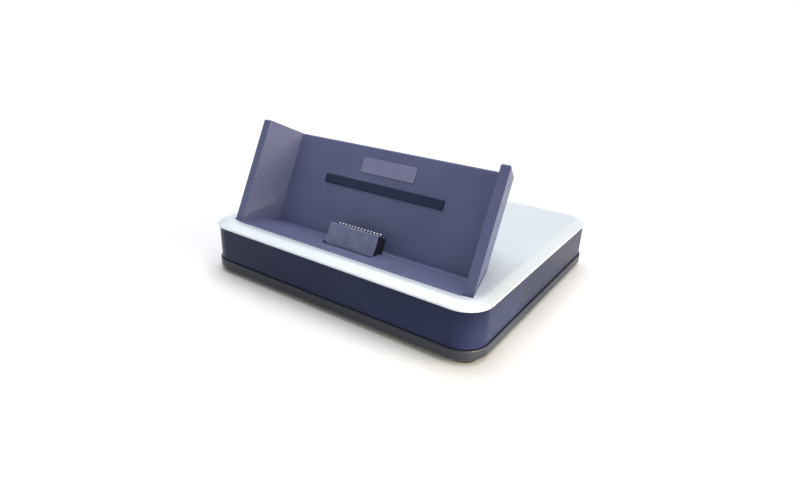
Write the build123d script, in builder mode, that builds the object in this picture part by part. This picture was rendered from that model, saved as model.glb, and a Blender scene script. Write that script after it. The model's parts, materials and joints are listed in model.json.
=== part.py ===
from build123d import *
from math import cos, radians, sin, tan
import os

# Desktop docking cradle for a pocket computer, as separate pieces.
# Millimetres, +X right, +Y back, +Z up. The origin is on the desk, under the centre of the base.

# ---- driving dimensions ----
WIDTH = 108.0
DEPTH = 95.0
CORNER_RADIUS = 8.6
WALL = 2.0
SEAM = 0.15                      # gap between two housing pieces
FRONT_Y = -DEPTH / 2
BACK_Y = DEPTH / 2

BASE_Z = 1.2                     # underside of the bottom cover above the desk
COVER_TOP_Z = 4.9                # top of the bottom cover's outer edge
BAND_TOP_Z = 16.9                # where the dark wall meets the silver top
TOP_Z = 18.5                     # flat silver top surface
BAND_INSET = 0.55                # the dark wall stands back from the covers' edges
FLOOR_THICKNESS = 1.6
INNER_FLOOR_Z = BASE_Z + FLOOR_THICKNESS
TOP_UNDERSIDE_Z = TOP_Z - 1.8
EDGE_SLOPE = 3.4                 # the silver top slopes down over this width at its edge
EDGE_DROP = 1.15

REST_TILT = 25.95                # backrest leans back from the vertical, degrees
REST_FOOT_Y = FRONT_Y + 21.4     # a point low on the backrest's face
REST_FOOT_Z = 14.9
REST_HEIGHT = 34.4               # from that point up the slope to the top edge
REST_HALF_WIDTH = 41.05          # inside the fins, at the backrest's face
REST_THICKNESS = 2.3
FIN_FLARE = 16.3                 # fins open outwards, degrees
FIN_DEPTH = 13.6                 # from the backrest's face to the fins' front edge
FIN_THICKNESS = 3.0
TRAY_THICKNESS = 2.2             # the tray's floor meets the backrest at a right angle
SHELF_Z = 17.8                   # flat shelf in front of the tray's sloping floor
SHELF_UNDERSIDE_Z = SHELF_Z - TRAY_THICKNESS
EAR_Z = 12.7
LIP_DEPTH = 6.8                  # front lip of the silver top
LIP_CREST = 3.5                  # behind this the lip curves down towards the shelf
LIP_HALF_WIDTH = 44.0            # the curve runs out past this, over the next 5 mm

PAD_UP = 20.35                   # middle of the rest pad, up the slope
PAD_PROUD = 0.4

CONNECTOR_HALF_WIDTH = 9.8
CONNECTOR_GAP = 0.7              # beside the block, in the tray's opening
CONTACT_COUNT = 14
CONTACT_PITCH = 1.3
BLOCK_BACK = 3.6                 # the connector block's faces ahead of the backrest
BLOCK_FRONT = 8.35
BLOCK_TOP = 5.1                  # its top, up the slope
PIVOT_AHEAD = 6.5                # the pivot's place in the same directions
PIVOT_DOWN = 7.0
PIN_RADIUS = 1.0
PIN_CLEARANCE = 0.05

BOARD_UNDERSIDE_Z = 6.5
BOARD_THICKNESS = 1.6
BOARD_TOP_Z = BOARD_UNDERSIDE_Z + BOARD_THICKNESS
BOARD_HALF_WIDTH = 32.0
BOARD_FRONT_Y = 14.0
BOARD_BACK_Y = 44.0
USB_X = -15.0
JACK_X = 15.0
JACK_Z = BOARD_TOP_Z + 3.1

FOOT_PLACES = [(x, y) for x in (-47.4, 47.4) for y in (-40.9, 40.9)]
FRONT_POST_PLACES = [(-38.0, -33.0), (38.0, -33.0)]
REAR_POST_PLACES = [(-38.0, 38.0), (38.0, 38.0)]
HOUSING_SCREW_PLACES = FRONT_POST_PLACES + REAR_POST_PLACES
CRADLE_SCREW_PLACES = [(-30.0, -15.0), (30.0, -15.0)]
BRACKET_SCREW_PLACES = [(-17.5, -39.4), (17.5, -39.4)]
BOARD_SCREW_PLACES = [(x, y) for x in (-28.0, 28.0) for y in (18.0, 40.0)]
BALLAST_PEG_PLACES = [(-26.0, -10.0), (26.0, -10.0)]
REAR_COVER_SCREW_PLACES = [(-30.0, 24.0), (30.0, 24.0)]

tilt = radians(REST_TILT)
up_slope = (0, sin(tilt), cos(tilt))
out_of_face = (0, -cos(tilt), sin(tilt))
up_slope_axis = Axis((0, 0, 0), up_slope)
out_of_face_axis = Axis((0, 0, 0), out_of_face)
flare = tan(radians(FIN_FLARE))
fin_side = FIN_THICKNESS / cos(radians(FIN_FLARE))

# Local X is the cradle's X, local Y runs from the face back through the panel, local Z up the slope.
section_plane = Plane(origin=(0, REST_FOOT_Y, REST_FOOT_Z), x_dir=(1, 0, 0), z_dir=up_slope)
# Local X is the cradle's X, local Y runs up the slope, local Z out of the face towards the front.
face_plane = Plane(origin=(0, REST_FOOT_Y, REST_FOOT_Z), x_dir=(1, 0, 0), z_dir=out_of_face)
# Seen from the right side: local X is the cradle's Y, local Y is Z.
side_plane = Plane(origin=(0, 0, 0), x_dir=(0, 1, 0), z_dir=(1, 0, 0))


def side_point(ahead, up):
    """Cradle (Y, Z) of a point so far ahead of the backrest's face and up its slope."""
    y = REST_FOOT_Y - ahead * cos(tilt) + up * sin(tilt)
    z = REST_FOOT_Z + ahead * sin(tilt) + up * cos(tilt)
    return y, z


PIVOT_Y, PIVOT_Z = side_point(PIVOT_AHEAD, -PIVOT_DOWN)


def flared_outline(side, behind, ahead):
    """Corners of the bay's cross-section, grown sideways by side, from behind the face to ahead."""
    back_half = REST_HALF_WIDTH + side - behind * flare
    front_half = REST_HALF_WIDTH + side + ahead * flare
    return [(-front_half, -ahead), (front_half, -ahead), (back_half, behind), (-back_half, behind)]


def flared_prism(side, behind, ahead, bottom, top):
    """Solid of that cross-section, from bottom to top along the slope."""
    with BuildPart() as prism:
        with BuildSketch(section_plane.offset(bottom)):
            Polygon(*flared_outline(side, behind, ahead), align=None)
        extrude(amount=top - bottom)
    return prism.part


def save(part, label):
    """Label a finished piece and write it as its own STEP file."""
    part.label = label
    export_step(part, f"parts/{label}.step")


def rounded_slab(bottom, top, inset=0.0):
    """Slab with the base's rounded outline, drawn in by inset."""
    with BuildSketch(Plane.XY.offset(bottom)) as outline:
        RectangleRounded(WIDTH - 2 * inset, DEPTH - 2 * inset, CORNER_RADIUS - inset)
    extrude(outline.sketch, amount=top - bottom)


def cut_rounded_slab(bottom, top, inset):
    """Remove the same outline from the current piece."""
    with BuildSketch(Plane.XY.offset(bottom)) as outline:
        RectangleRounded(WIDTH - 2 * inset, DEPTH - 2 * inset, CORNER_RADIUS - inset)
    extrude(outline.sketch, amount=top - bottom, mode=Mode.SUBTRACT)


def columns(places, radius, bottom, top, mode=Mode.ADD):
    """Upright cylinders at the given places, added or cut."""
    with BuildSketch(Plane.XY.offset(bottom)) as circles:
        with Locations(*places):
            Circle(radius)
    extrude(circles.sketch, amount=top - bottom, mode=mode)


def upright_screws(places, head_bottom, head_radius, head_height, shank_radius, tip_z):
    """Pan-head screws that point up, each with a cross recess in its head."""
    head_top = head_bottom + head_height
    with BuildPart() as screws:
        columns(places, head_radius, head_bottom, head_top)
        chamfer(screws.faces().sort_by(Axis.Z)[0:len(places)].edges(), head_height * 0.3)
        columns(places, shank_radius, head_top, tip_z)
        chamfer(screws.edges().group_by(Axis.Z)[-1], shank_radius * 0.4)
        with BuildSketch(Plane.XY.offset(head_bottom)):
            with Locations(*places):
                Rectangle(head_radius * 1.1, head_radius * 0.25)
                Rectangle(head_radius * 0.25, head_radius * 1.1)
        extrude(amount=head_height * 0.6, mode=Mode.SUBTRACT)
    return screws.part


# The empty bay that the pocket computer stands in. Its floor is the tray, which slopes down to
# the backrest, and in front of that the flat shelf.
with BuildPart() as bay_over_shelf:
    add(flared_prism(0.0, 0.0, 34.0, -14.0, REST_HEIGHT + 20.0))
    split(bisect_by=Plane.XY.offset(SHELF_Z), keep=Keep.TOP)
with BuildPart() as bay:
    add(flared_prism(0.0, 0.0, 34.0, 0.0, REST_HEIGHT + 20.0))
    tray_edges = bay.faces().sort_by(up_slope_axis)[0].edges()
    fillet(tray_edges.sort_by(out_of_face_axis)[0], 1.2)
    add(bay_over_shelf.part)

# Slanted opening through the silver top for the cradle shell.
with BuildPart() as cradle_opening:
    add(flared_prism(fin_side + SEAM, REST_THICKNESS + SEAM, 34.0, -14.0, 14.0))
    lip_edge = Plane(origin=(0, FRONT_Y + LIP_DEPTH, 0), z_dir=(0, 1, 0))
    split(bisect_by=lip_edge, keep=Keep.TOP)

# Flat shelf between the front lip and the fins, the same outline drawn in by the seam.
with BuildPart() as shelf:
    add(flared_prism(fin_side, 0.0, 34.0, -14.0, 14.0))
    split(bisect_by=Plane.XY.offset(SHELF_UNDERSIDE_Z), keep=Keep.TOP)
    split(bisect_by=Plane.XY.offset(SHELF_Z), keep=Keep.BOTTOM)
    shelf_edge = Plane(origin=(0, FRONT_Y + LIP_DEPTH + SEAM, 0), z_dir=(0, 1, 0))
    split(bisect_by=shelf_edge, keep=Keep.TOP)

# The fins where they reach down to the shelf.
with BuildPart() as fin_feet:
    add(flared_prism(fin_side, REST_THICKNESS, FIN_DEPTH, -12.0, 4.0))
    split(bisect_by=Plane.XY.offset(SHELF_UNDERSIDE_Z), keep=Keep.TOP)


def make_bottom_cover():
    with BuildPart() as bottom_cover:
        rounded_slab(BASE_Z, COVER_TOP_Z)
        chamfer(bottom_cover.edges().group_by(Axis.Z)[0], 0.7)
        fillet(bottom_cover.edges().group_by(Axis.Z)[-1], 0.35)
        rounded_slab(COVER_TOP_Z, COVER_TOP_Z + 1.4, BAND_INSET + WALL + SEAM)
        cut_rounded_slab(INNER_FLOOR_Z, COVER_TOP_Z + 1.4, BAND_INSET + WALL + SEAM + 1.3)
        # bosses, board posts and pegs
        columns(HOUSING_SCREW_PLACES, 4.2, INNER_FLOOR_Z, 4.6)
        columns(BOARD_SCREW_PLACES, 2.6, INNER_FLOOR_Z, BOARD_UNDERSIDE_Z)
        columns(BALLAST_PEG_PLACES, 1.5, INNER_FLOOR_Z, 5.0)
        columns(BALLAST_PEG_PLACES, 2.4, 4.9, 5.5)
        # screw holes with sunk heads, board pilot holes, recesses for the feet
        columns(HOUSING_SCREW_PLACES, 1.5, BASE_Z, 4.6, Mode.SUBTRACT)
        columns(HOUSING_SCREW_PLACES, 3.0, BASE_Z, 3.3, Mode.SUBTRACT)
        columns(BOARD_SCREW_PLACES, 1.0, INNER_FLOOR_Z, BOARD_UNDERSIDE_Z, Mode.SUBTRACT)
        columns(FOOT_PLACES, 4.7, BASE_Z, BASE_Z + 0.8, Mode.SUBTRACT)
        # shallow blank panel for a rating plate
        with BuildSketch(Plane.XY.offset(BASE_Z)):
            with Locations((0, 8)):
                RectangleRounded(46, 24, 2)
        extrude(amount=0.3, mode=Mode.SUBTRACT)
        # short ribs that locate the ballast plate
        with BuildSketch(Plane.XY.offset(INNER_FLOOR_Z)):
            with Locations((-36.6, -8), (36.6, -8)):
                Rectangle(1.2, 24)
            with Locations((0, 11.6)):
                Rectangle(50, 1.2)
        extrude(amount=2.2)
    save(bottom_cover.part, "bottom_cover")


def make_side_band():
    with BuildPart() as side_band:
        rounded_slab(COVER_TOP_Z + SEAM, BAND_TOP_Z - SEAM, BAND_INSET)
        cut_rounded_slab(COVER_TOP_Z, BAND_TOP_Z, BAND_INSET + WALL)
        # openings for the two sockets in the back wall
        with BuildSketch(Plane.XZ.offset(-BACK_Y - 1)):
            with Locations((USB_X, BOARD_TOP_Z + 2.0)):
                RectangleRounded(8.5, 4.8, 0.6)
            with Locations((JACK_X, JACK_Z)):
                Circle(3.3)
        extrude(amount=8, mode=Mode.SUBTRACT)
    save(side_band.part, "side_band")


def lip_curve(half_width, drop):
    """Section above the front lip's inner slope, at this distance from the middle."""
    crest = (FRONT_Y + LIP_CREST, TOP_Z)
    inner_edge = (FRONT_Y + LIP_DEPTH + 0.1, TOP_Z - drop)
    with BuildSketch(side_plane.offset(half_width)) as section:
        with BuildLine():
            TangentArc(crest, inner_edge, tangent=(1, 0))
            Polyline(inner_edge, (inner_edge[0], TOP_Z + 1), (crest[0], TOP_Z + 1), crest)
        make_face()
    return section.sketch


def make_top_cover():
    rib_inset = BAND_INSET + WALL + SEAM
    with BuildPart() as top_cover:
        rounded_slab(BAND_TOP_Z, TOP_Z)
        top_edges = top_cover.edges().group_by(Axis.Z)[-1]
        chamfer(top_edges, EDGE_SLOPE, EDGE_DROP, reference=top_cover.faces().sort_by(Axis.Z)[-1])
        fillet(top_cover.edges().group_by(Axis.Z)[-1], 6.0)
        rim_z = TOP_Z - EDGE_DROP
        fillet(top_cover.edges().filter_by_position(Axis.Z, rim_z - 0.01, rim_z + 0.01), 0.35)
        # inner plate and locating rib inside the dark wall
        rounded_slab(TOP_UNDERSIDE_Z, BAND_TOP_Z, rib_inset)
        rounded_slab(TOP_UNDERSIDE_Z - 2.0, TOP_UNDERSIDE_Z, rib_inset)
        cut_rounded_slab(TOP_UNDERSIDE_Z - 2.0, TOP_UNDERSIDE_Z, rib_inset + 1.2)
        columns(REAR_POST_PLACES, 3.2, 4.7, TOP_UNDERSIDE_Z)
        columns(REAR_POST_PLACES, 1.3, 4.7, 15.0, Mode.SUBTRACT)
        columns(CRADLE_SCREW_PLACES, 3.0, 14.45, TOP_UNDERSIDE_Z)
        columns(CRADLE_SCREW_PLACES, 1.05, 14.45, 17.2, Mode.SUBTRACT)
        # the rib stops where the cradle's tub passes
        with BuildSketch(Plane.XY.offset(TOP_UNDERSIDE_Z - 2.0)):
            with Locations((0, FRONT_Y + 12)):
                Rectangle(2 * 49.2, 24 - 0.4)
        extrude(amount=2.0, mode=Mode.SUBTRACT)
        # inner slope of the front lip, which runs out at both ends
        full_drop = TOP_Z - SHELF_Z
        end_x = LIP_HALF_WIDTH + 5.0
        middle_section = lip_curve(-LIP_HALF_WIDTH, full_drop)
        extrude(middle_section, amount=2 * LIP_HALF_WIDTH, mode=Mode.SUBTRACT)
        for side in (-1, 1):
            sections = [lip_curve(side * LIP_HALF_WIDTH, full_drop), lip_curve(side * end_x, 0.02)]
            loft(sections, mode=Mode.SUBTRACT)
        add(cradle_opening.part, mode=Mode.SUBTRACT)
    save(top_cover.part, "top_cover")


def make_cradle_shell():
    with BuildPart() as cradle_shell:
        add(flared_prism(fin_side, REST_THICKNESS, FIN_DEPTH, -TRAY_THICKNESS, REST_HEIGHT))
        add(fin_feet.part)
        add(shelf.part)
        # ears behind the backrest, and posts and bosses under the floor
        with BuildSketch(Plane.XY.offset(EAR_Z)):
            for x, y in CRADLE_SCREW_PLACES:
                with Locations((x, y - 3.5)):
                    Rectangle(9, 15)
        extrude(amount=1.6)
        columns(FRONT_POST_PLACES, 3.2, 4.7, SHELF_UNDERSIDE_Z + 0.3)
        columns(BRACKET_SCREW_PLACES, 2.5, 10.9, SHELF_UNDERSIDE_Z)
        add(bay.part, mode=Mode.SUBTRACT)
        columns(CRADLE_SCREW_PLACES, 1.3, EAR_Z, 14.4, Mode.SUBTRACT)
        columns(FRONT_POST_PLACES, 1.3, 4.7, 13.0, Mode.SUBTRACT)
        columns(BRACKET_SCREW_PLACES, 0.95, 10.9, 14.0, Mode.SUBTRACT)
        # opening in the floor for the connector
        opening_back = BLOCK_BACK - 0.5
        opening_front = BLOCK_FRONT + 2.0
        opening_width = 2 * (CONNECTOR_HALF_WIDTH + CONNECTOR_GAP)
        with BuildSketch(section_plane.offset(-10)):
            with Locations((0, -(opening_back + opening_front) / 2)):
                RectangleRounded(opening_width, opening_front - opening_back, 0.8)
        extrude(amount=16, mode=Mode.SUBTRACT)
        # groove for the pad, shallow seat for the badge, pilot holes for the rear cover
        with BuildSketch(face_plane):
            with Locations((0, PAD_UP)):
                RectangleRounded(49.2, 3.3, 0.5)
        extrude(amount=-1.0, mode=Mode.SUBTRACT)
        with BuildSketch(face_plane):
            with Locations((0.5, 27.7)):
                RectangleRounded(22.2, 5.6, 0.8)
        extrude(amount=-0.3, mode=Mode.SUBTRACT)
        with BuildSketch(face_plane.offset(-REST_THICKNESS)):
            with Locations(*REAR_COVER_SCREW_PLACES):
                Circle(0.85)
        extrude(amount=1.5, mode=Mode.SUBTRACT)
        top_face = cradle_shell.faces().sort_by(up_slope_axis)[-1]
        fillet(top_face.edges(), 0.7)
    save(cradle_shell.part, "cradle_shell")


def make_backrest_rear_cover():
    cover_depth = 2.8
    buttress_half = 21.0
    # side outline of the prop behind the panel, from the cover's back down to the silver top
    back_of_plate = -REST_THICKNESS - cover_depth + 0.5
    high = side_point(back_of_plate, 27.0)
    low = side_point(back_of_plate, 0.0)
    foot_y = FRONT_Y + 48.5
    with BuildPart() as rear_cover:
        with BuildSketch(section_plane.offset(0.0)):
            with Locations((0, REST_THICKNESS + 0.05 + cover_depth / 2)):
                Rectangle(76, cover_depth)
        extrude(amount=REST_HEIGHT - 1.6)
        back_face = rear_cover.faces().sort_by(out_of_face_axis)[0]
        fillet(back_face.edges(), 1.4)
        with BuildSketch(side_plane.offset(-buttress_half)):
            with BuildLine():
                Polyline(high, low, (foot_y, 10.0), (foot_y, TOP_Z + 1.6))
                SagittaArc((foot_y, TOP_Z + 1.6), high, 2.5)
            make_face()
        extrude(amount=2 * buttress_half)
        # hollow inside of the prop
        with BuildSketch(side_plane.offset(-buttress_half + 1.8)):
            with BuildLine():
                inner_high = side_point(back_of_plate + 0.3, 22.5)
                inner_low = side_point(back_of_plate + 0.3, 0.0)
                Polyline(inner_high, inner_low, (foot_y - 1.8, 10.0), (foot_y - 1.8, TOP_Z + 1.8))
                SagittaArc((foot_y - 1.8, TOP_Z + 1.8), inner_high, 2.0)
            make_face()
        extrude(amount=2 * (buttress_half - 1.8), mode=Mode.SUBTRACT)
        split(bisect_by=Plane.XY.offset(TOP_Z + 0.1), keep=Keep.TOP)
        # screw holes with sunk heads
        with BuildSketch(face_plane.offset(-REST_THICKNESS - cover_depth - 0.5)):
            with Locations(*REAR_COVER_SCREW_PLACES):
                Circle(1.0)
        extrude(amount=cover_depth + 1.0, mode=Mode.SUBTRACT)
        with BuildSketch(face_plane.offset(-REST_THICKNESS - cover_depth - 0.5)):
            with Locations(*REAR_COVER_SCREW_PLACES):
                Circle(2.0)
        extrude(amount=1.9, mode=Mode.SUBTRACT)
    save(rear_cover.part, "backrest_rear_cover")

    head_start = face_plane.offset(-REST_THICKNESS - cover_depth + 0.1)
    with BuildPart() as backrest_screws:
        with BuildSketch(head_start):
            with Locations(*REAR_COVER_SCREW_PLACES):
                Circle(1.8)
        extrude(amount=1.25)
        with BuildSketch(head_start):
            with Locations(*REAR_COVER_SCREW_PLACES):
                Circle(0.8)
        extrude(amount=4.0)
        with BuildSketch(head_start):
            with Locations(*REAR_COVER_SCREW_PLACES):
                Rectangle(2.1, 0.45)
                Rectangle(0.45, 2.1)
        extrude(amount=0.7, mode=Mode.SUBTRACT)
    save(backrest_screws.part, "backrest_screws")


def make_pad_and_badge():
    with BuildPart() as rest_pad:
        with BuildSketch(face_plane.offset(-0.95)):
            with Locations((0, PAD_UP)):
                RectangleRounded(49.0, 3.1, 0.45)
        extrude(amount=0.95 + PAD_PROUD)
        fillet(rest_pad.faces().sort_by(out_of_face_axis)[-1].edges(), 0.2)
    save(rest_pad.part, "rest_pad")

    with BuildPart() as blank_badge:
        with BuildSketch(face_plane.offset(-0.28)):
            with Locations((0.5, 27.7)):
                RectangleRounded(22.0, 5.4, 0.7)
        extrude(amount=0.5)
        fillet(blank_badge.faces().sort_by(out_of_face_axis)[-1].edges(), 0.15)
    save(blank_badge.part, "blank_badge")


ARM_FRONT_Y = -42.4
ARM_BOTTOM_Z = 10.2
SPRING_PLACES = [(-6.5, -40.3), (6.5, -40.3)]
SPRING_SEAT_Z = 5.9


def contact_places():
    """X of each contact blade."""
    first = -CONTACT_PITCH * (CONTACT_COUNT - 1) / 2
    return [first + index * CONTACT_PITCH for index in range(CONTACT_COUNT)]


def make_connector():
    with BuildPart() as carriage:
        # block that stands up through the tray's floor
        block_depth = BLOCK_FRONT - BLOCK_BACK
        with BuildSketch(section_plane.offset(-PIVOT_DOWN)):
            with Locations((0, -(BLOCK_BACK + BLOCK_FRONT) / 2)):
                Rectangle(2 * CONNECTOR_HALF_WIDTH, block_depth)
        extrude(amount=PIVOT_DOWN + BLOCK_TOP)
        # hub around the pivot pin, front arm over the springs, tail for the ribbon
        with BuildSketch(side_plane.offset(-CONNECTOR_HALF_WIDTH)):
            with Locations((PIVOT_Y, PIVOT_Z)):
                Circle(2.4)
            with BuildLine():
                Polyline(
                    (ARM_FRONT_Y, ARM_BOTTOM_Z),
                    (PIVOT_Y, ARM_BOTTOM_Z - 0.9),
                    (PIVOT_Y, ARM_BOTTOM_Z + 1.9),
                    (ARM_FRONT_Y, ARM_BOTTOM_Z + 1.3),
                    close=True,
                )
            make_face()
        extrude(amount=2 * CONNECTOR_HALF_WIDTH)
        with BuildSketch(side_plane.offset(-6.4)):
            with Locations((PIVOT_Y + 0.2, PIVOT_Z - 2.6)):
                Rectangle(2.0, 1.6)
        extrude(amount=12.8)
        with BuildSketch(side_plane.offset(-20)):
            with Locations((PIVOT_Y, PIVOT_Z)):
                Circle(PIN_RADIUS + PIN_CLEARANCE)
        extrude(amount=40, mode=Mode.SUBTRACT)
        # slots that the contact blades stand in
        with BuildSketch(section_plane.offset(BLOCK_TOP)):
            for x in contact_places():
                with Locations((x, -BLOCK_BACK - 1.3)):
                    Rectangle(0.74, 1.54)
        extrude(amount=-2.0, mode=Mode.SUBTRACT)
    save(carriage.part, "connector_carriage")

    sheet = 0.4
    shield_bottom = -2.6
    shield_top = BLOCK_TOP + 0.02
    fold_back = BLOCK_BACK + 2.4
    with BuildPart() as shield:
        with BuildSketch(section_plane.offset(shield_bottom)):
            with Locations((0, -BLOCK_FRONT - 0.02 - sheet / 2)):
                Rectangle(2 * CONNECTOR_HALF_WIDTH + 0.4, sheet)
        extrude(amount=shield_top + sheet - shield_bottom)
        with BuildSketch(section_plane.offset(shield_top)):
            with Locations((0, -(fold_back + BLOCK_FRONT + sheet) / 2)):
                Rectangle(2 * CONNECTOR_HALF_WIDTH + 0.4, BLOCK_FRONT + sheet - fold_back)
        extrude(amount=sheet)
        bend = shield.edges().filter_by(Axis.X).sort_by(Axis((0, 0, 0), (0, -1, 1)))[-1]
        fillet(bend, 0.35)
    save(shield.part, "connector_shield")

    with BuildPart() as contacts:
        with BuildSketch(section_plane.offset(BLOCK_TOP - 1.98)):
            for x in contact_places():
                with Locations((x, -BLOCK_BACK - 1.3)):
                    Rectangle(0.7, 1.5)
        extrude(amount=1.98 + 1.2)
        blade_tops = contacts.edges().filter_by(Axis.X)
        blade_tops = blade_tops.group_by(up_slope_axis)[-1]
        fillet(blade_tops, 0.5)
    save(contacts.part, "connector_contacts")


def make_pivot():
    cheek_inside = CONNECTOR_HALF_WIDTH + 1.3
    cheek_thickness = 1.6
    cheek_outside = cheek_inside + cheek_thickness
    bracket_front_y = -42.8
    bracket_back_y = PIVOT_Y + 3.2
    bracket_middle_y = (bracket_front_y + bracket_back_y) / 2
    with BuildPart() as bracket:
        # U-shaped channel: spring plate below, a cheek each side
        with BuildSketch(Plane.XY.offset(5.0)):
            with Locations((0, bracket_middle_y)):
                Rectangle(2 * cheek_outside, bracket_back_y - bracket_front_y)
        extrude(amount=SPRING_SEAT_Z - 5.0)
        with BuildSketch(Plane.XY.offset(5.0)):
            for side in (-1, 1):
                with Locations((side * (cheek_inside + cheek_thickness / 2), bracket_middle_y)):
                    Rectangle(cheek_thickness, bracket_back_y - bracket_front_y)
        extrude(amount=PIVOT_Z + 2.3 - 5.0)
        # flanges that are screwed up to the tray's bosses
        with BuildSketch(Plane.XY.offset(9.3)):
            for side in (-1, 1):
                with Locations((side * (cheek_outside + 21.4) / 2, -39.4)):
                    Rectangle(21.4 - cheek_outside + 0.4, 4.8)
        extrude(amount=1.5)
        columns(BRACKET_SCREW_PLACES, 1.15, 9.0, 11.0, Mode.SUBTRACT)
        columns(SPRING_PLACES, 0.9, SPRING_SEAT_Z, SPRING_SEAT_Z + 0.8)
        with BuildSketch(side_plane.offset(-20)):
            with Locations((PIVOT_Y, PIVOT_Z)):
                Circle(PIN_RADIUS + 0.02)
        extrude(amount=40, mode=Mode.SUBTRACT)
    save(bracket.part, "carriage_bracket")

    pin_half = cheek_outside + 1.3
    clip_start = cheek_outside + 0.1
    clip_thickness = 0.5
    with BuildPart() as pin:
        with BuildSketch(side_plane.offset(-pin_half)):
            with Locations((PIVOT_Y, PIVOT_Z)):
                Circle(PIN_RADIUS)
        extrude(amount=2 * pin_half)
        chamfer(pin.edges(), 0.2)
        for start in (clip_start - 0.02, -clip_start - clip_thickness - 0.02):
            with BuildSketch(side_plane.offset(start)):
                with Locations((PIVOT_Y, PIVOT_Z)):
                    Circle(PIN_RADIUS + 0.5)
                    Circle(PIN_RADIUS - 0.25, mode=Mode.SUBTRACT)
            extrude(amount=clip_thickness + 0.04, mode=Mode.SUBTRACT)
    save(pin.part, "carriage_pivot_pin")

    with BuildPart() as clips:
        for start in (clip_start, -clip_start - clip_thickness):
            with BuildSketch(side_plane.offset(start)):
                with Locations((PIVOT_Y, PIVOT_Z)):
                    Circle(2.0)
                    Circle(PIN_RADIUS - 0.2, mode=Mode.SUBTRACT)
                with Locations((PIVOT_Y, PIVOT_Z - 1.4)):
                    Rectangle(1.1, 2.0, mode=Mode.SUBTRACT)
            extrude(amount=clip_thickness)
    save(clips.part, "pivot_clips")

    spring_length = ARM_BOTTOM_Z - 0.35 - 0.3 - SPRING_SEAT_Z
    spring_radius = 1.5
    wire_radius = 0.2
    with BuildPart() as springs:
        for x, y in SPRING_PLACES:
            coil = Helix(
                pitch=spring_length / 4,
                height=spring_length - 2 * wire_radius,
                radius=spring_radius,
                center=(x, y, SPRING_SEAT_Z + wire_radius + 0.05),
                mode=Mode.PRIVATE,
            )
            with BuildSketch(Plane(origin=coil @ 0, z_dir=coil % 0)):
                Circle(wire_radius)
            sweep(path=coil, is_frenet=True)
    save(springs.part, "carriage_springs")

    screws = upright_screws(BRACKET_SCREW_PLACES, 8.1, 1.8, 1.15, 0.85, 13.2)
    save(screws, "bracket_screws")


def make_flex():
    ribbon_half = 6.0
    with BuildPart() as flex:
        with BuildSketch(side_plane.offset(-ribbon_half)):
            with BuildLine():
                FilletPolyline(
                    (PIVOT_Y + 1.3, PIVOT_Z - 3.0),
                    (-26.0, 6.3),
                    (-4.0, 6.1),
                    (9.0, 6.9),
                    (12.0, 9.05),
                    (15.3, 9.05),
                    radius=1.6,
                )
            trace(line_width=0.3)
        extrude(amount=2 * ribbon_half)
    save(flex.part, "connector_flex")

    with BuildPart() as socket:
        with BuildSketch(Plane.XY.offset(BOARD_TOP_Z)):
            with Locations((0, 17.2)):
                Rectangle(15.5, 4.0)
        extrude(amount=1.9)
        with BuildSketch(Plane.XZ.offset(-15.2)):
            with Locations((0, 9.05)):
                Rectangle(12.4, 0.5)
        extrude(amount=-2.4, mode=Mode.SUBTRACT)
        fillet(socket.edges().filter_by(Axis.Z).group_by(Axis.Y)[-1], 0.4)
    save(socket.part, "flex_socket")


def make_board():
    board_middle = (BOARD_FRONT_Y + BOARD_BACK_Y) / 2
    with BuildPart() as board:
        with BuildSketch(Plane.XY.offset(BOARD_UNDERSIDE_Z)):
            with Locations((0, board_middle)):
                RectangleRounded(2 * BOARD_HALF_WIDTH, BOARD_BACK_Y - BOARD_FRONT_Y, 1.5)
        extrude(amount=BOARD_THICKNESS)
        columns(BOARD_SCREW_PLACES, 1.15, BOARD_UNDERSIDE_Z, BOARD_TOP_Z, Mode.SUBTRACT)
    save(board.part, "main_board")

    chip_sizes = [
        ((-6.0, 28.0), 10.0, 10.0),
        ((9.0, 27.0), 7.0, 5.0),
        ((-19.0, 24.0), 5.0, 4.0),
        ((17.5, 22.0), 4.5, 3.6),
    ]
    with BuildPart() as chips:
        for place, length, width in chip_sizes:
            with BuildSketch(Plane.XY.offset(BOARD_TOP_Z)):
                with Locations(place):
                    Rectangle(length, width)
            extrude(amount=1.4)
        chamfer(chips.edges().group_by(Axis.Z)[-1], 0.25)
    save(chips.part, "board_chips")

    with BuildPart() as capacitors:
        columns([(-24.0, 31.0), (22.0, 30.0), (24.0, 36.5)], 2.5, BOARD_TOP_Z, BOARD_TOP_Z + 5.2)
        fillet(capacitors.edges().group_by(Axis.Z)[-1], 0.4)
    save(capacitors.part, "board_capacitors")

    with BuildPart() as board_screws:
        columns(BOARD_SCREW_PLACES, 1.9, BOARD_TOP_Z, BOARD_TOP_Z + 1.2)
        fillet(board_screws.edges().group_by(Axis.Z)[-1], 0.5)
        columns(BOARD_SCREW_PLACES, 0.9, 3.4, BOARD_TOP_Z)
        with BuildSketch(Plane.XY.offset(BOARD_TOP_Z + 0.6)):
            with Locations(*BOARD_SCREW_PLACES):
                Rectangle(2.0, 0.45)
                Rectangle(0.45, 2.0)
        extrude(amount=1.0, mode=Mode.SUBTRACT)
    save(board_screws.part, "board_screws")


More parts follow.
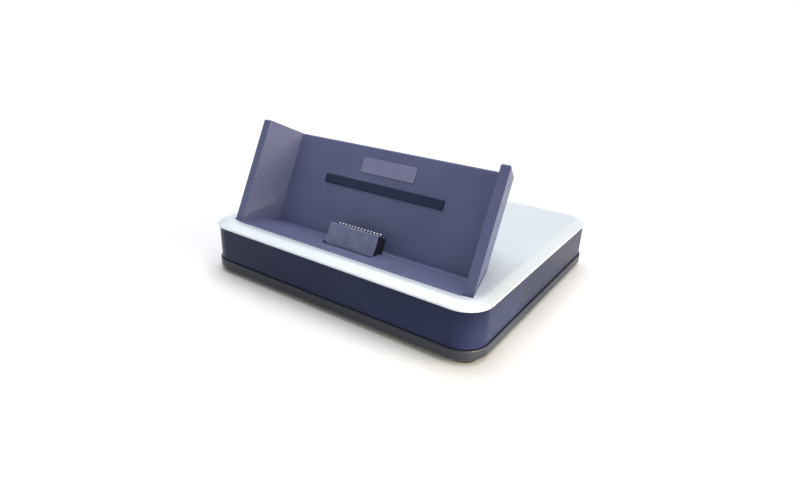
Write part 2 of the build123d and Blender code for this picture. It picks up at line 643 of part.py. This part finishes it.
def make_sockets():
    shell_width = 7.7
    shell_height = 3.9
    shell_back_y = 37.7
    shell_length = 9.2
    wall = 0.35
    middle_z = BOARD_TOP_Z + shell_height / 2
    shell_plane = Plane.XZ.offset(-shell_back_y)
    with BuildPart() as usb_shell:
        with BuildSketch(shell_plane):
            with Locations((USB_X, middle_z)):
                RectangleRounded(shell_width, shell_height, 0.5)
        extrude(amount=-shell_length)
        with BuildSketch(Plane.XZ.offset(-shell_back_y - wall)):
            with Locations((USB_X, middle_z)):
                RectangleRounded(shell_width - 2 * wall, shell_height - 2 * wall, 0.2)
        extrude(amount=-shell_length, mode=Mode.SUBTRACT)
    save(usb_shell.part, "usb_socket_shell")

    with BuildPart() as tongue:
        with BuildSketch(Plane.XZ.offset(-shell_back_y - wall - 0.02)):
            with Locations((USB_X, middle_z)):
                Rectangle(shell_width - 2 * wall - 0.1, shell_height - 2 * wall - 0.1)
        extrude(amount=-1.2)
        with BuildSketch(Plane.XZ.offset(-shell_back_y - wall)):
            with Locations((USB_X, middle_z + 0.2)):
                Rectangle(4.0, 0.8)
        extrude(amount=-7.4)
    save(tongue.part, "usb_socket_tongue")

    body_front_y = 34.4
    body_back_y = BACK_Y - BAND_INSET - WALL - 0.1
    with BuildPart() as jack_body:
        with BuildSketch(Plane.XZ.offset(-body_front_y)):
            with Locations((JACK_X, JACK_Z)):
                Rectangle(7.6, 6.2)
        extrude(amount=-(body_back_y - body_front_y))
        chamfer(jack_body.edges().filter_by(Axis.Y).group_by(Axis.Z)[-1], 0.6)
        with BuildSketch(Plane.XZ.offset(-body_back_y + 0.1)):
            with Locations((JACK_X, JACK_Z)):
                Circle(3.0)
        extrude(amount=-1.9)
        with BuildSketch(Plane.XZ.offset(-body_front_y - 2.0)):
            with Locations((JACK_X, JACK_Z)):
                Circle(2.15)
        extrude(amount=-12, mode=Mode.SUBTRACT)
    save(jack_body.part, "dc_jack_body")

    with BuildPart() as jack_pin:
        with BuildSketch(Plane.XZ.offset(-body_front_y - 2.0)):
            with Locations((JACK_X, JACK_Z)):
                Circle(0.8)
        extrude(amount=-8.6)
        fillet(jack_pin.edges().sort_by(Axis.Y)[-1], 0.5)
    save(jack_pin.part, "dc_jack_pin")


def make_base_fittings():
    with BuildPart() as ballast:
        with BuildSketch(Plane.XY.offset(INNER_FLOOR_Z + 0.02)):
            with Locations((0, -10)):
                RectangleRounded(70, 41, 3)
            with Locations(*BALLAST_PEG_PLACES):
                Circle(1.6, mode=Mode.SUBTRACT)
        extrude(amount=2.0)
    save(ballast.part, "ballast_plate")

    with BuildPart() as feet:
        columns(FOOT_PLACES, 4.5, 0.0, BASE_Z + 0.78)
        fillet(feet.edges().group_by(Axis.Z)[0], 0.5)
    save(feet.part, "rubber_feet")

    save(upright_screws(HOUSING_SCREW_PLACES, 1.7, 2.7, 1.55, 1.2, 12.0), "housing_screws")
    save(upright_screws(CRADLE_SCREW_PLACES, 11.3, 2.0, 1.35, 0.95, 16.9), "cradle_screws")


os.makedirs("parts", exist_ok=True)
make_bottom_cover()
make_side_band()
make_top_cover()
make_cradle_shell()
make_backrest_rear_cover()
make_pad_and_badge()
make_connector()
make_pivot()
make_flex()
make_board()
make_sockets()
make_base_fittings()
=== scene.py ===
"""Looks of a desktop docking cradle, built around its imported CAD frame. Metres, +Z up."""
import json
import math

import bmesh
import bpy
from mathutils import Matrix, Vector


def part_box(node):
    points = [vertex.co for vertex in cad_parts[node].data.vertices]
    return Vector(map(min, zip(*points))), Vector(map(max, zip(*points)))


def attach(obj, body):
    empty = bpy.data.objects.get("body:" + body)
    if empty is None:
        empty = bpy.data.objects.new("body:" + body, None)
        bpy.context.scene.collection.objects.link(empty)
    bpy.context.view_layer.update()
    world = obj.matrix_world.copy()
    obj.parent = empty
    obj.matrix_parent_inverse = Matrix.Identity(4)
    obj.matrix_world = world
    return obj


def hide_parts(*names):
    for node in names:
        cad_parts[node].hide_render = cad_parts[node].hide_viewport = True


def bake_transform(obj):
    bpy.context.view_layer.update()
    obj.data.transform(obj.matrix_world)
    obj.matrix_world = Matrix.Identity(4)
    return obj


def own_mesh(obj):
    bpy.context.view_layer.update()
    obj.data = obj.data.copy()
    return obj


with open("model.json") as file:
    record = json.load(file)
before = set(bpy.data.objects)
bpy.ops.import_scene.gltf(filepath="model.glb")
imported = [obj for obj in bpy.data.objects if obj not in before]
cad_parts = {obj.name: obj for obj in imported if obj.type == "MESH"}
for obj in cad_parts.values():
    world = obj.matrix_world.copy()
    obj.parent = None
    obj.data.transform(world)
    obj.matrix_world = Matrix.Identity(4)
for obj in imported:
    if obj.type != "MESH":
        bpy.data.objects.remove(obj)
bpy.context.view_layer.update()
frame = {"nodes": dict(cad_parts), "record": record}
nodes = frame["nodes"]
MM = 0.001


# ---------------------------------------------------------------- materials


class Graph:
    """A short way to build a material's nodes."""

    def __init__(self, name):
        self.material = bpy.data.materials.new(name)
        self.material.use_nodes = True
        self.tree = self.material.node_tree
        self.tree.nodes.clear()
        self.output = self.add("ShaderNodeOutputMaterial")
        self.shader = self.add("ShaderNodeBsdfPrincipled")
        self.link(self.shader, "BSDF", self.output, "Surface")
        self.place = self.add("ShaderNodeTexCoord")

    def add(self, kind, **settings):
        node = self.tree.nodes.new(kind)
        for key, value in settings.items():
            if key in node.inputs:
                node.inputs[key].default_value = value
            else:
                setattr(node, key, value)
        return node

    def link(self, source, output, target, socket):
        """Join two sockets, each given by its name or its place in the row."""
        self.tree.links.new(source.outputs[output], target.inputs[socket])

    def noise(self, size, detail=3.0, roughness=0.5, stretch=None):
        """Noise whose blobs are about size metres across, optionally stretched along an axis."""
        texture = self.add("ShaderNodeTexNoise", Scale=1.0 / size, Detail=detail, Roughness=roughness)
        if stretch:
            mapping = self.add("ShaderNodeMapping")
            mapping.inputs["Scale"].default_value = stretch
            self.link(self.place, "Object", mapping, "Vector")
            self.link(mapping, "Vector", texture, "Vector")
        else:
            self.link(self.place, "Object", texture, "Vector")
        return texture

    def ramp(self, source, output, stops):
        """Colour ramp over a value, from (position, colour) stops."""
        ramp = self.add("ShaderNodeValToRGB")
        ramp.color_ramp.elements[0].position = stops[0][0]
        ramp.color_ramp.elements[0].color = (*stops[0][1], 1)
        ramp.color_ramp.elements[1].position = stops[-1][0]
        ramp.color_ramp.elements[1].color = (*stops[-1][1], 1)
        for position, color in stops[1:-1]:
            element = ramp.color_ramp.elements.new(position)
            element.color = (*color, 1)
        self.link(source, output, ramp, "Fac")
        return ramp

    def span(self, source, output, low, high, start=0.3, end=0.7):
        """Value between low and high as the source goes from start to end."""
        remap = self.add("ShaderNodeMapRange")
        remap.inputs["From Min"].default_value = start
        remap.inputs["From Max"].default_value = end
        remap.inputs["To Min"].default_value = low
        remap.inputs["To Max"].default_value = high
        self.link(source, output, remap, "Value")
        return remap

    def bump(self, source, output, distance, under=None):
        """Relief of this height in metres, laid over another relief if one is given."""
        bump = self.add("ShaderNodeBump", Distance=distance)
        self.link(source, output, bump, "Height")
        if under:
            self.link(under, "Normal", bump, "Normal")
        return bump


def moulded_plastic(
    name, dark, light, grain_size, grain_depth, rough, coat=0.0, specular=0.5, wave_depth=0.0
):
    """Injection-moulded plastic: cloudy colour, spark-eroded grain, uneven polish and faint flow waves."""
    graph = Graph(name)
    cloud = graph.noise(0.018, detail=4.0)
    color = graph.ramp(cloud, "Fac", [(0.3, dark), (0.7, light)])
    graph.link(color, "Color", graph.shader, "Base Color")
    polish = graph.noise(0.006, detail=5.0, roughness=0.6)
    roughness = graph.span(polish, "Fac", rough[0], rough[1])
    graph.link(roughness, "Result", graph.shader, "Roughness")
    grain = graph.noise(grain_size, detail=2.0, roughness=0.55)
    top = graph.bump(grain, "Fac", grain_depth)
    if wave_depth:
        wave = graph.noise(0.03, detail=1.0)
        flow = graph.bump(wave, "Fac", wave_depth)
        graph.link(flow, "Normal", top, "Normal")
    graph.link(top, "Normal", graph.shader, "Normal")
    graph.shader.inputs["Coat Weight"].default_value = coat
    graph.shader.inputs["Coat Roughness"].default_value = 0.12
    graph.shader.inputs["Specular IOR Level"].default_value = specular
    return graph.material


def painted_silver(name, dark, light):
    """Pale silver paint on plastic: metal flakes under a satin clear coat, with slight orange peel."""
    graph = Graph(name)
    flakes = graph.add("ShaderNodeTexVoronoi", Scale=1.0 / 0.00016, feature="F1")
    graph.link(graph.place, "Object", flakes, "Vector")
    sparkle = graph.add("ShaderNodeSeparateColor")
    graph.link(flakes, "Color", sparkle, "Color")
    glint = tuple(min(1, channel * 1.06) for channel in light)
    color = graph.ramp(sparkle, "Red", [(0.0, dark), (0.75, light), (1.0, glint)])
    cloud = graph.noise(0.03, detail=3.0)
    shade = graph.ramp(cloud, "Fac", [(0.3, (0.965, 0.97, 0.975)), (0.7, (1, 1, 1))])
    mix = graph.add("ShaderNodeMix", data_type="RGBA", blend_type="MULTIPLY")
    # The mix node has several sockets of each name; these are the factor and the colour ones.
    mix_factor, mix_a, mix_b, mix_result = 0, 6, 7, 2
    mix.inputs[mix_factor].default_value = 1.0
    graph.link(color, "Color", mix, mix_a)
    graph.link(shade, "Color", mix, mix_b)
    graph.link(mix, mix_result, graph.shader, "Base Color")
    graph.shader.inputs["Metallic"].default_value = 0.3
    roughness = graph.span(sparkle, "Green", 0.4, 0.52, 0.0, 1.0)
    graph.link(roughness, "Result", graph.shader, "Roughness")
    peel = graph.noise(0.0011, detail=1.0)
    under = graph.bump(peel, "Fac", 0.000006)
    tilt = graph.bump(sparkle, "Blue", 0.000002, under=under)
    graph.link(tilt, "Normal", graph.shader, "Normal")
    graph.shader.inputs["Coat Weight"].default_value = 0.15
    graph.shader.inputs["Coat Roughness"].default_value = 0.25
    return graph.material


def soft_rubber(name, dark, light):
    """Matte rubber: powdery patches and a fine pebble."""
    graph = Graph(name)
    dust = graph.noise(0.004, detail=6.0, roughness=0.65)
    color = graph.ramp(dust, "Fac", [(0.35, dark), (0.75, light)])
    graph.link(color, "Color", graph.shader, "Base Color")
    roughness = graph.span(dust, "Fac", 0.62, 0.85)
    graph.link(roughness, "Result", graph.shader, "Roughness")
    pebble = graph.add("ShaderNodeTexVoronoi", Scale=1.0 / 0.00035, feature="SMOOTH_F1")
    graph.link(graph.place, "Object", pebble, "Vector")
    bump = graph.bump(pebble, "Distance", 0.00003)
    graph.link(bump, "Normal", graph.shader, "Normal")
    graph.shader.inputs["Specular IOR Level"].default_value = 0.3
    return graph.material


def bare_metal(name, dark, light, rough, stretch=(1, 1, 12), size=0.0012):
    """Bare or plated metal with drawn lines, tarnish clouds and uneven polish."""
    graph = Graph(name)
    cloud = graph.noise(0.003, detail=5.0)
    color = graph.ramp(cloud, "Fac", [(0.3, dark), (0.7, light)])
    graph.link(color, "Color", graph.shader, "Base Color")
    graph.shader.inputs["Metallic"].default_value = 1.0
    lines = graph.noise(size, detail=3.0, stretch=stretch)
    roughness = graph.span(lines, "Fac", rough[0], rough[1])
    graph.link(roughness, "Result", graph.shader, "Roughness")
    bump = graph.bump(lines, "Fac", 0.000008)
    graph.link(bump, "Normal", graph.shader, "Normal")
    return graph.material


def board_mask(name):
    """Green solder mask over copper tracks that run in steps across the board."""
    graph = Graph(name)
    tracks = graph.add(
        "ShaderNodeTexBrick", Scale=1.0 / 0.0085, offset=0.35, squash=1.7, squash_frequency=3
    )
    tracks.inputs["Mortar Size"].default_value = 0.018
    tracks.inputs["Mortar Smooth"].default_value = 0.2
    tracks.inputs["Color1"].default_value = (0.012, 0.11, 0.045, 1)
    tracks.inputs["Color2"].default_value = (0.016, 0.13, 0.055, 1)
    tracks.inputs["Mortar"].default_value = (0.03, 0.2, 0.08, 1)
    graph.link(graph.place, "Object", tracks, "Vector")
    graph.link(tracks, "Color", graph.shader, "Base Color")
    weave = graph.noise(0.0009, detail=2.0)
    roughness = graph.span(weave, "Fac", 0.24, 0.4)
    graph.link(roughness, "Result", graph.shader, "Roughness")
    raised = graph.bump(tracks, "Fac", 0.00003)
    cloth = graph.bump(weave, "Fac", 0.00001, under=raised)
    graph.link(cloth, "Normal", graph.shader, "Normal")
    graph.shader.inputs["Coat Weight"].default_value = 0.3
    return graph.material


def ribbon_film(name):
    """Amber film with a row of copper tracks seen through it."""
    graph = Graph(name)
    wave = graph.add("ShaderNodeTexWave", Scale=1.0 / 0.0055, wave_type="BANDS", bands_direction="X")
    graph.link(graph.place, "Object", wave, "Vector")
    color = graph.ramp(wave, "Fac", [(0.35, (0.5, 0.21, 0.035)), (0.6, (0.32, 0.11, 0.02))])
    graph.link(color, "Color", graph.shader, "Base Color")
    blot = graph.noise(0.004, detail=3.0)
    roughness = graph.span(blot, "Fac", 0.2, 0.38)
    graph.link(roughness, "Result", graph.shader, "Roughness")
    bump = graph.bump(wave, "Fac", 0.00002)
    graph.link(bump, "Normal", graph.shader, "Normal")
    return graph.material


LOOKS = {
    "dark_shell": moulded_plastic(
        "dark_shell", (0.011, 0.014, 0.026), (0.018, 0.021, 0.037), 0.0004, 0.00002, (0.3, 0.4),
        specular=0.35,
    ),
    "gloss_band": moulded_plastic(
        "gloss_band", (0.006, 0.010, 0.042), (0.010, 0.015, 0.052), 0.0007, 0.000004, (0.31, 0.36),
        specular=0.16, wave_depth=0.000008,
    ),
    "silver_top": painted_silver("silver_top", (0.60, 0.65, 0.71), (0.71, 0.76, 0.82)),
    "cradle_plastic": moulded_plastic(
        "cradle_plastic", (0.088, 0.098, 0.195), (0.104, 0.117, 0.228), 0.00035, 0.00004, (0.44, 0.56),
        specular=0.35,
    ),
    "pad_rubber": soft_rubber("pad_rubber", (0.012, 0.016, 0.048), (0.021, 0.028, 0.072)),
    "badge": moulded_plastic(
        "badge", (0.17, 0.17, 0.30), (0.21, 0.21, 0.35), 0.0003, 0.00002, (0.25, 0.38), coat=0.3
    ),
    "connector_plastic": moulded_plastic(
        "connector_plastic", (0.010, 0.011, 0.018), (0.018, 0.019, 0.030), 0.0003, 0.00003, (0.35, 0.5)
    ),
    "connector_metal": bare_metal(
        "connector_metal", (0.175, 0.195, 0.32), (0.235, 0.255, 0.40), (0.36, 0.5)
    ),
    "contact_metal": bare_metal("contact_metal", (0.50, 0.50, 0.56), (0.66, 0.66, 0.72), (0.2, 0.34)),
    "sheet_steel": bare_metal("sheet_steel", (0.40, 0.41, 0.42), (0.52, 0.53, 0.54), (0.3, 0.5)),
    "pin_steel": bare_metal(
        "pin_steel", (0.55, 0.56, 0.57), (0.68, 0.69, 0.70), (0.12, 0.25), stretch=(12, 1, 1)
    ),
    "screw_steel": bare_metal(
        "screw_steel", (0.10, 0.10, 0.11), (0.17, 0.17, 0.18), (0.28, 0.45), stretch=(1, 1, 1)
    ),
    "flex_film": ribbon_film("flex_film"),
    "board_laminate": board_mask("board_laminate"),
    "chip_plastic": moulded_plastic(
        "chip_plastic", (0.012, 0.012, 0.013), (0.02, 0.02, 0.021), 0.00025, 0.00002, (0.45, 0.6)
    ),
    "capacitor_can": bare_metal("capacitor_can", (0.62, 0.63, 0.66), (0.76, 0.77, 0.80), (0.22, 0.4)),
    "feet_rubber": soft_rubber("feet_rubber", (0.014, 0.014, 0.016), (0.03, 0.03, 0.033)),
}
LABEL_FILM = moulded_plastic(
    "label_film", (0.50, 0.51, 0.53), (0.58, 0.59, 0.61), 0.0005, 0.00001, (0.35, 0.5), coat=0.2
)
LABEL_BORDER = moulded_plastic(
    "label_border", (0.05, 0.05, 0.06), (0.07, 0.07, 0.08), 0.0005, 0.00001, (0.35, 0.5), coat=0.2
)


# ---------------------------------------------------------------- CAD nodes

# Small rounding, in mm, where the CAD leaves a moulded or folded corner sharp.
ROUNDING = {"backrest_rear_cover": 0.25, "connector_carriage": 0.18, "connector_shield": 0.08}
CREASE_ANGLE = math.radians(30)


def sharp_by_angle():
    """Geometry nodes that shade a mesh smooth but keep its creases sharp."""
    group = bpy.data.node_groups.new("sharp_by_angle", "GeometryNodeTree")
    group.interface.new_socket("Geometry", in_out="INPUT", socket_type="NodeSocketGeometry")
    group.interface.new_socket("Geometry", in_out="OUTPUT", socket_type="NodeSocketGeometry")
    source = group.nodes.new("NodeGroupInput")
    result = group.nodes.new("NodeGroupOutput")
    angle = group.nodes.new("GeometryNodeInputMeshEdgeAngle")
    crease = group.nodes.new("FunctionNodeCompare")
    crease.inputs["B"].default_value = CREASE_ANGLE
    smooth_faces = group.nodes.new("GeometryNodeSetShadeSmooth")
    sharp_edges = group.nodes.new("GeometryNodeSetShadeSmooth")
    sharp_edges.domain = "EDGE"
    sharp_edges.inputs["Shade Smooth"].default_value = False
    group.links.new(source.outputs["Geometry"], smooth_faces.inputs["Geometry"])
    group.links.new(smooth_faces.outputs["Geometry"], sharp_edges.inputs["Geometry"])
    group.links.new(angle.outputs["Unsigned Angle"], crease.inputs["A"])
    group.links.new(crease.outputs["Result"], sharp_edges.inputs["Selection"])
    group.links.new(sharp_edges.outputs["Geometry"], result.inputs["Geometry"])
    return group


CREASES = sharp_by_angle()


def smooth_piece(piece, rounding=0.0):
    """Smooth shading that keeps real creases and, where corners are sharp, a small rounding in mm."""
    weld = piece.modifiers.new("weld", "WELD")
    weld.merge_threshold = 0.002 * MM
    if rounding:
        bevel = piece.modifiers.new("rounding", "BEVEL")
        bevel.width = rounding * MM
        bevel.segments = 2
        bevel.limit_method = "ANGLE"
        bevel.angle_limit = math.radians(40)
        bevel.miter_outer = "MITER_ARC"
    shading = piece.modifiers.new("shading", "NODES")
    shading.node_group = CREASES
    normals = piece.modifiers.new("normals", "WEIGHTED_NORMAL")
    normals.keep_sharp = True


def dress_cad_nodes():
    """Give each CAD node its material and shading."""
    for part in frame["record"]["subparts"]:
        node = nodes[part["node"]]
        node.data.materials.clear()
        node.data.materials.append(LOOKS[part["material_slot"]])
        smooth_piece(node, ROUNDING.get(part["node"], 0.0))


dress_cad_nodes()


# ---------------------------------------------------------------- small pieces


def add_piece(name, mesh, looks, rounding):
    """Turn a finished bmesh into a piece of the base, with slightly rounded edges."""
    bmesh.ops.recalc_face_normals(mesh, faces=mesh.faces)
    data = bpy.data.meshes.new(name)
    mesh.to_mesh(data)
    mesh.free()
    for look in looks:
        data.materials.append(look)
    piece = bpy.data.objects.new(name, data)
    bpy.context.scene.collection.objects.link(piece)
    bevel = piece.modifiers.new("rounding", "BEVEL")
    bevel.width = rounding
    bevel.limit_method = "ANGLE"
    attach(piece, "base")


def add_strip(mesh, x, width, thickness, path):
    """Add a bent metal strip that follows a path of (y, z) points."""
    previous = None
    for y, z in path:
        corners = (
            (x - width / 2, z), (x + width / 2, z),
            (x + width / 2, z - thickness), (x - width / 2, z - thickness),
        )
        ring = [mesh.verts.new((corner_x, y, corner_z)) for corner_x, corner_z in corners]
        if previous:
            for k in range(4):
                after = (k + 1) % 4
                mesh.faces.new((previous[k], previous[after], ring[after], ring[k]))
        else:
            mesh.faces.new(ring)
        previous = ring
    mesh.faces.new(previous)


def make_usb_contacts():
    """Five springs under the tongue of the sync socket."""
    shell_low, shell_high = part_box("usb_socket_shell")
    tongue_low, tongue_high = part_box("usb_socket_tongue")
    middle_x = (shell_low[0] + shell_high[0]) / 2
    tongue_underside = (shell_low[2] + shell_high[2]) / 2 - 0.2 * MM
    root_y = tongue_low[1] + 1.3 * MM
    tip_y = tongue_high[1]
    path = [
        (root_y, tongue_underside),
        (tip_y - 2.6 * MM, tongue_underside - 0.02 * MM),
        (tip_y - 1.7 * MM, tongue_underside - 0.16 * MM),
        (tip_y - 1.0 * MM, tongue_underside - 0.03 * MM),
        (tip_y - 0.5 * MM, tongue_underside),
    ]
    springs = bmesh.new()
    for index in range(5):
        add_strip(springs, middle_x + (index - 2) * 0.8 * MM, 0.4 * MM, 0.1 * MM, path)
    add_piece("usb_socket_contacts", springs, [LOOKS["contact_metal"]], 0.02 * MM)


def rounded_outline(middle, width, depth, radius, z):
    """Points around a rectangle with rounded corners, seen from above."""
    steps = 6
    points = []
    for quarter, (side_x, side_y) in enumerate(((1, 1), (-1, 1), (-1, -1), (1, -1))):
        for step in range(steps + 1):
            angle = math.radians(90 * (quarter + step / steps))
            x = middle[0] + side_x * (width / 2 - radius) + radius * math.cos(angle)
            y = middle[1] + side_y * (depth / 2 - radius) + radius * math.sin(angle)
            points.append((x, y, z))
    return points


def make_rating_label():
    """Blank foil label with a dark border, in the shallow panel of the underside."""
    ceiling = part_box("bottom_cover")[0][2] + 0.3 * MM
    middle = (0.0, 8.0 * MM)
    label = bmesh.new()
    glue_gap = 0.01 * MM
    outline = rounded_outline(middle, 42.0 * MM, 20.0 * MM, 1.6 * MM, ceiling - glue_gap)
    top = label.faces.new([label.verts.new(point) for point in outline])
    extruded = bmesh.ops.extrude_face_region(label, geom=[top])["geom"]
    lower_verts = [item for item in extruded if isinstance(item, bmesh.types.BMVert)]
    bmesh.ops.translate(label, verts=lower_verts, vec=(0, 0, -0.14 * MM))
    underside = min(label.faces, key=lambda face: face.calc_center_median().z)
    border = bmesh.ops.inset_region(label, faces=[underside], thickness=0.9 * MM, depth=-0.02 * MM)["faces"]
    for face in border:
        face.material_index = 1
    add_piece("rating_label", label, [LABEL_FILM, LABEL_BORDER], 0.03 * MM)


def elastic_copy(name, node):
    """Piece with a CAD node's own shape, for a part that gives way as the connector rocks."""
    piece = bpy.data.objects.new(name, nodes[node].data.copy())
    bpy.context.scene.collection.objects.link(piece)
    smooth_piece(piece)
    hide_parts(node)
    return piece


def make_elastic_parts():
    """Still copies of the return springs, which shorten under the connector's arm, and of the ribbon, whose
    end follows its tail, in place of their hidden CAD nodes.
    """
    springs = elastic_copy("return_springs", "carriage_springs")
    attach(springs, "base")
    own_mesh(springs)
    ribbon = elastic_copy("connector_ribbon", "connector_flex")
    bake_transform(ribbon)


make_usb_contacts()
make_rating_label()
make_elastic_parts()


# ---------------------------------------------------------------- stage, light and camera


def floor_paper():
    """Matte white paper, lit from behind away from the middle like a product table."""
    graph = Graph("floor_paper")
    paper = graph.noise(0.05, detail=2.0)
    color = graph.ramp(paper, "Fac", [(0.3, (0.90, 0.90, 0.90)), (0.7, (0.92, 0.92, 0.92))])
    graph.link(color, "Color", graph.shader, "Base Color")
    distance = graph.add("ShaderNodeVectorMath", operation="LENGTH")
    graph.link(graph.place, "Object", distance, "Vector")
    glow = graph.span(distance, "Value", 0.0, 0.55, start=0.3, end=0.9)
    graph.link(glow, "Result", graph.shader, "Emission Strength")
    graph.shader.inputs["Emission Color"].default_value = (1, 1, 1, 1)
    graph.shader.inputs["Roughness"].default_value = 0.9
    graph.shader.inputs["Specular IOR Level"].default_value = 0.1
    return graph.material


def make_floor():
    """Plain pale floor that curves up far away on all sides, so no horizon shows."""
    steps = 96
    radii = [0.5 + 0.1 * index for index in range(16)]
    bend_start = 1.0
    rim_height = 0.6
    bowl = bmesh.new()
    middle = bowl.verts.new((0, 0, 0))
    previous = None
    for radius in radii:
        height = rim_height * (max(0.0, radius - bend_start) / (radii[-1] - bend_start)) ** 2
        angles = [math.tau * k / steps for k in range(steps)]
        ring = [bowl.verts.new((radius * math.cos(a), radius * math.sin(a), height)) for a in angles]
        for k in range(steps):
            after = (k + 1) % steps
            if previous:
                bowl.faces.new((previous[k], ring[k], ring[after], previous[after]))
            else:
                bowl.faces.new((middle, ring[k], ring[after]))
        previous = ring
    for face in bowl.faces:
        face.smooth = True
    mesh = bpy.data.meshes.new("floor")
    bowl.to_mesh(mesh)
    bowl.free()
    floor = bpy.data.objects.new("floor", mesh)
    bpy.context.scene.collection.objects.link(floor)
    mesh.materials.append(floor_paper())


def soft_light(name, place, target, width, height, power, color, spread=180):
    """Rectangular light aimed at a target, with power in watts, that fans out over spread degrees."""
    data = bpy.data.lights.new(name, "AREA")
    data.spread = math.radians(spread)
    data.shape = "RECTANGLE"
    data.size = width
    data.size_y = height
    data.energy = power
    data.color = color
    light = bpy.data.objects.new(name, data)
    light.location = place
    light.rotation_mode = "QUATERNION"
    light.rotation_quaternion = (Vector(target) - Vector(place)).to_track_quat("-Z", "Y")
    bpy.context.scene.collection.objects.link(light)


def light_scene():
    """Pale even surroundings, two cool panels above, and a warm light low on the right."""
    warm = (1.0, 0.86, 0.68)
    very_warm = (1.0, 0.84, 0.5)
    cool = (0.97, 0.985, 1.0)
    world = bpy.data.worlds.new("studio")
    bpy.context.scene.world = world
    world.use_nodes = True
    background = world.node_tree.nodes["Background"]
    background.inputs["Color"].default_value = (0.93, 0.965, 1.0, 1)
    background.inputs["Strength"].default_value = 0.3
    middle = (0, 0, 0.02)
    near_corner = (0.052, -0.036, 0.007)
    soft_light("key_right", (0.75, 0.08, 0.22), middle, 0.6, 0.26, 6.3, warm)
    soft_light("corner_beam", (0.25, -0.08, 0.006), near_corner, 0.04, 0.008, 0.006, very_warm, spread=7)
    soft_light("top_panel", (0.05, 0.1, 0.9), middle, 0.8, 0.6, 4.9, cool)
    soft_light("back_left_panel", (-0.43, 0.24, 0.76), middle, 0.8, 0.8, 3.3, cool)


def make_camera():
    """Camera to the right of the front, a little above, turned slightly about its line of sight."""
    azimuth = math.radians(33.755)
    elevation = math.radians(22.47)
    roll = math.radians(2.19)
    target = Vector((0.00365, -0.010, 0.01357))
    distance = 0.19737
    flat = math.cos(elevation)
    back = Vector((math.sin(azimuth) * flat, -math.cos(azimuth) * flat, math.sin(elevation)))
    level = Vector((math.cos(azimuth), math.sin(azimuth), 0))
    upright = back.cross(level)
    right = level * math.cos(roll) + upright * math.sin(roll)
    up = back.cross(right)
    data = bpy.data.cameras.new("camera")
    data.sensor_width = 36.0
    data.lens = 24.8
    data.clip_start = 0.005
    camera = bpy.data.objects.new("camera", data)
    camera.matrix_world = Matrix((
        (right.x, up.x, back.x, 0), (right.y, up.y, back.y, 0), (right.z, up.z, back.z, 0), (0, 0, 0, 1),
    ))
    camera.location = target + back * distance
    bpy.context.scene.collection.objects.link(camera)
    bpy.context.scene.camera = camera


make_floor()
light_scene()
make_camera()
bpy.context.scene.view_settings.view_transform = "Standard"
